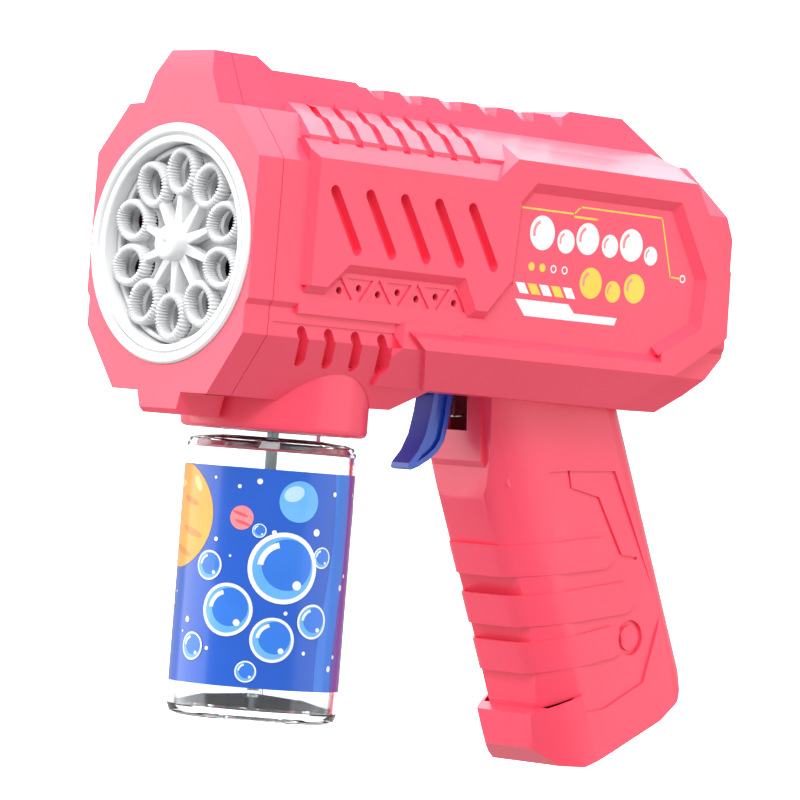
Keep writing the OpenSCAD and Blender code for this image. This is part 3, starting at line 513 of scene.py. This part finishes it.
def plate_x(bm_, pts, x0, x1, inset=0.35):
    """Plate across the X axis with a softened front edge."""
    n = len(pts)
    cx = sum(p[0] for p in pts) / n
    cy = sum(p[1] for p in pts) / n
    rows_ = []
    for x, k in ((x1, 0), (x0 + inset, 0), (x0 + inset * 0.3, 0.45), (x0, 1.0)):
        row_ = []
        for i, p in enumerate(pts):
            a_, b_ = pts[i - 1], pts[(i + 1) % n]
            tx, ty = b_[0] - a_[0], b_[1] - a_[1]
            d_ = math.hypot(tx, ty) or 1
            nx, ny = ty / d_, -tx / d_
            if nx * (p[0] - cx) + ny * (p[1] - cy) < 0:
                nx, ny = -nx, -ny
            row_.append(bm_.verts.new((x * MM, (p[0] - nx * inset * k * 0.6) * MM, (p[1] - ny * inset * k * 0.6) * MM)))
        rows_.append(row_)
    for r0, r1 in zip(rows_, rows_[1:]):
        for i in range(n):
            bm_.faces.new((r0[i], r0[(i + 1) % n], r1[(i + 1) % n], r1[i]))
    bm_.faces.new(rows_[0][::-1])
    bm_.faces.new(rows_[-1])


for i in range(LOOPS):
    t = 2 * math.pi * i / LOOPS
    spoke = [(-1.35, 3.9), (1.35, 3.9), (0.72, LOOP_R - 5.0), (-0.72, LOOP_R - 5.0)]
    plate_x(bm, [(-v * math.sin(t) + u * math.cos(t), v * math.cos(t) + u * math.sin(t)) for u, v in spoke], 1.7, 4.7)
turned(bm, [(5.0, 1.5), (5.0, 4.2), (-1.1, 4.2), (-1.7, 3.8), (-2.0, 3.1), (-2.0, 0.8), (-1.8, 0.6), (-1.8, 0.01), (-0.5, 0.01), (-0.5, 1.5)], 64)
turned(bm, [(3.4, 22.75), (3.4, 23.85), (3.6, 23.9), (4.9, 23.9), (4.9, 22.7), (3.6, 22.7)])
bmesh.ops.recalc_face_normals(bm, faces=bm.faces[:])
me = bpy.data.meshes.new("ribbed_wheel")
bm.to_mesh(me)
bm.free()
wheel_piece = link("ribbed_wheel", me, M["white_plastic"], "wheel")
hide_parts("bubble_wheel")

# ---- the trigger's return spring, as a true helix
def coil(name, cx, cz0, cz1, r, wire, turns, n=26, sides=8):
    bm_ = bmesh.new()
    total = int(turns * n)
    rows_ = []
    for i in range(total + 1):
        u = i / total
        a_ = 2 * math.pi * turns * u
        flat = 0.75 / turns
        h = 0.0 if u < flat else 1.0 if u > 1 - flat else (u - flat) / (1 - 2 * flat)
        lift = wire * 2.1
        z = cz0 + (lift * u / flat if u < flat else lift + (cz1 - cz0 - 2 * lift) * h if u <= 1 - flat else cz1 - lift * (1 - u) / flat)
        rows_.append([bm_.verts.new(((cx + (r + wire * math.cos(2 * math.pi * k / sides)) * math.cos(a_)) * MM,
                                     (r + wire * math.cos(2 * math.pi * k / sides)) * math.sin(a_) * MM,
                                     (z + wire * math.sin(2 * math.pi * k / sides)) * MM)) for k in range(sides)])
    for r0, r1 in zip(rows_, rows_[1:]):
        for k in range(sides):
            f_ = bm_.faces.new((r0[k], r0[(k + 1) % sides], r1[(k + 1) % sides], r1[k]))
            f_.smooth = True
    bm_.faces.new(rows_[0])
    bm_.faces.new(rows_[-1][::-1])
    bmesh.ops.recalc_face_normals(bm_, faces=bm_.faces[:])
    me_ = bpy.data.meshes.new(name)
    bm_.to_mesh(me_)
    bm_.free()
    return me_


spring = link("return_spring", coil("return_spring", 99.5, -21.55, -13.1, 1.7, 0.28, 6), M["steel"], "housing")
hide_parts("trigger_spring")
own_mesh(spring)

# ------------------------------------------------------------------ stage
cam_data = bpy.data.cameras.new("cam")
cam = bpy.data.objects.new("cam", cam_data)
bpy.context.scene.collection.objects.link(cam)
cam.location = (-0.80879744, -0.95049757, -0.05237826)
cam.rotation_mode = "QUATERNION"
cam.rotation_quaternion = Quaternion((0.66233608, 0.65203361, -0.28735558, -0.23149483))
cam_data.sensor_width = 36
cam_data.lens = 234.422
cam_data.clip_start = 0.05
cam_data.clip_end = 20
bpy.context.scene.camera = cam

fl = bmesh.new()
R = 6.0
z0 = cad_box[0][2] - 0.09  # below the bottle when it is lowered out of its socket
prof = [(-R, 0)] + [(1.2, 0)] + [(1.2 + 0.8 * math.sin(t * math.pi / 20), 0.8 - 0.8 * math.cos(t * math.pi / 20)) for t in range(1, 11)] + [(2.0, 4.0)]
rows = []
for s in (-R, R):
    rows.append([fl.verts.new((Vector((0.648, 0.761, 0)) * a + Vector((0.761, -0.648, 0)) * s + Vector((0, 0, z0 + h)))) for a, h in prof])
for i in range(len(prof) - 1):
    fl.faces.new((rows[0][i], rows[0][i + 1], rows[1][i + 1], rows[1][i]))
me = bpy.data.meshes.new("floor")
fl.to_mesh(me)
fl.free()
for p in me.polygons:
    p.use_smooth = True
floor = bpy.data.objects.new("floor", me)
bpy.context.scene.collection.objects.link(floor)
fm = plastic("floor_paper", "#FFFFFF", "#FCFCFC", rough=0.9, var=0.0, bump=0.0)
floor.data.materials.append(fm)
fb = fm.node_tree.nodes["Principled BSDF"]
fb.inputs["Emission Color"].default_value = (1, 1, 1, 1)
fb.inputs["Emission Strength"].default_value = 0.75
floor.visible_diffuse = False
floor.visible_glossy = False

bpy.context.scene.view_settings.view_transform = "Standard"
w = bpy.data.worlds.new("studio")
bpy.context.scene.world = w
w.use_nodes = True
w.node_tree.nodes["Background"].inputs[0].default_value = (1, 1, 1, 1)
w.node_tree.nodes["Background"].inputs[1].default_value = 0.64


def area(name, loc, target, size, power, col=(1, 1, 1), size_y=None):
    d = bpy.data.lights.new(name, "AREA")
    d.shape = "RECTANGLE"
    d.size = size
    d.size_y = size_y or size
    d.energy = power
    d.color = col
    o = bpy.data.objects.new(name, d)
    bpy.context.scene.collection.objects.link(o)
    o.location = loc
    o.rotation_euler = (Vector(target) - Vector(loc)).to_track_quat("-Z", "Y").to_euler()
    return o


area("key", (-0.88, -0.82, 1.02), (0.06, 0, -0.02), 0.8, 18)
area("top", (-0.05, 0.1, 1.2), (0.08, 0, -0.02), 0.8, 17)
area("front_sheen", (-1.0, 1.15, 0.25), (0.0, 0, 0.0), 1.8, 21)
area("back_sheen", (0.95, 0.7, 1.0), (0.08, 0, 0.02), 1.6, 15)
area("side_sheen", (1.05, -1.25, 0.25), (0.08, 0, 0.0), 1.6, 7)
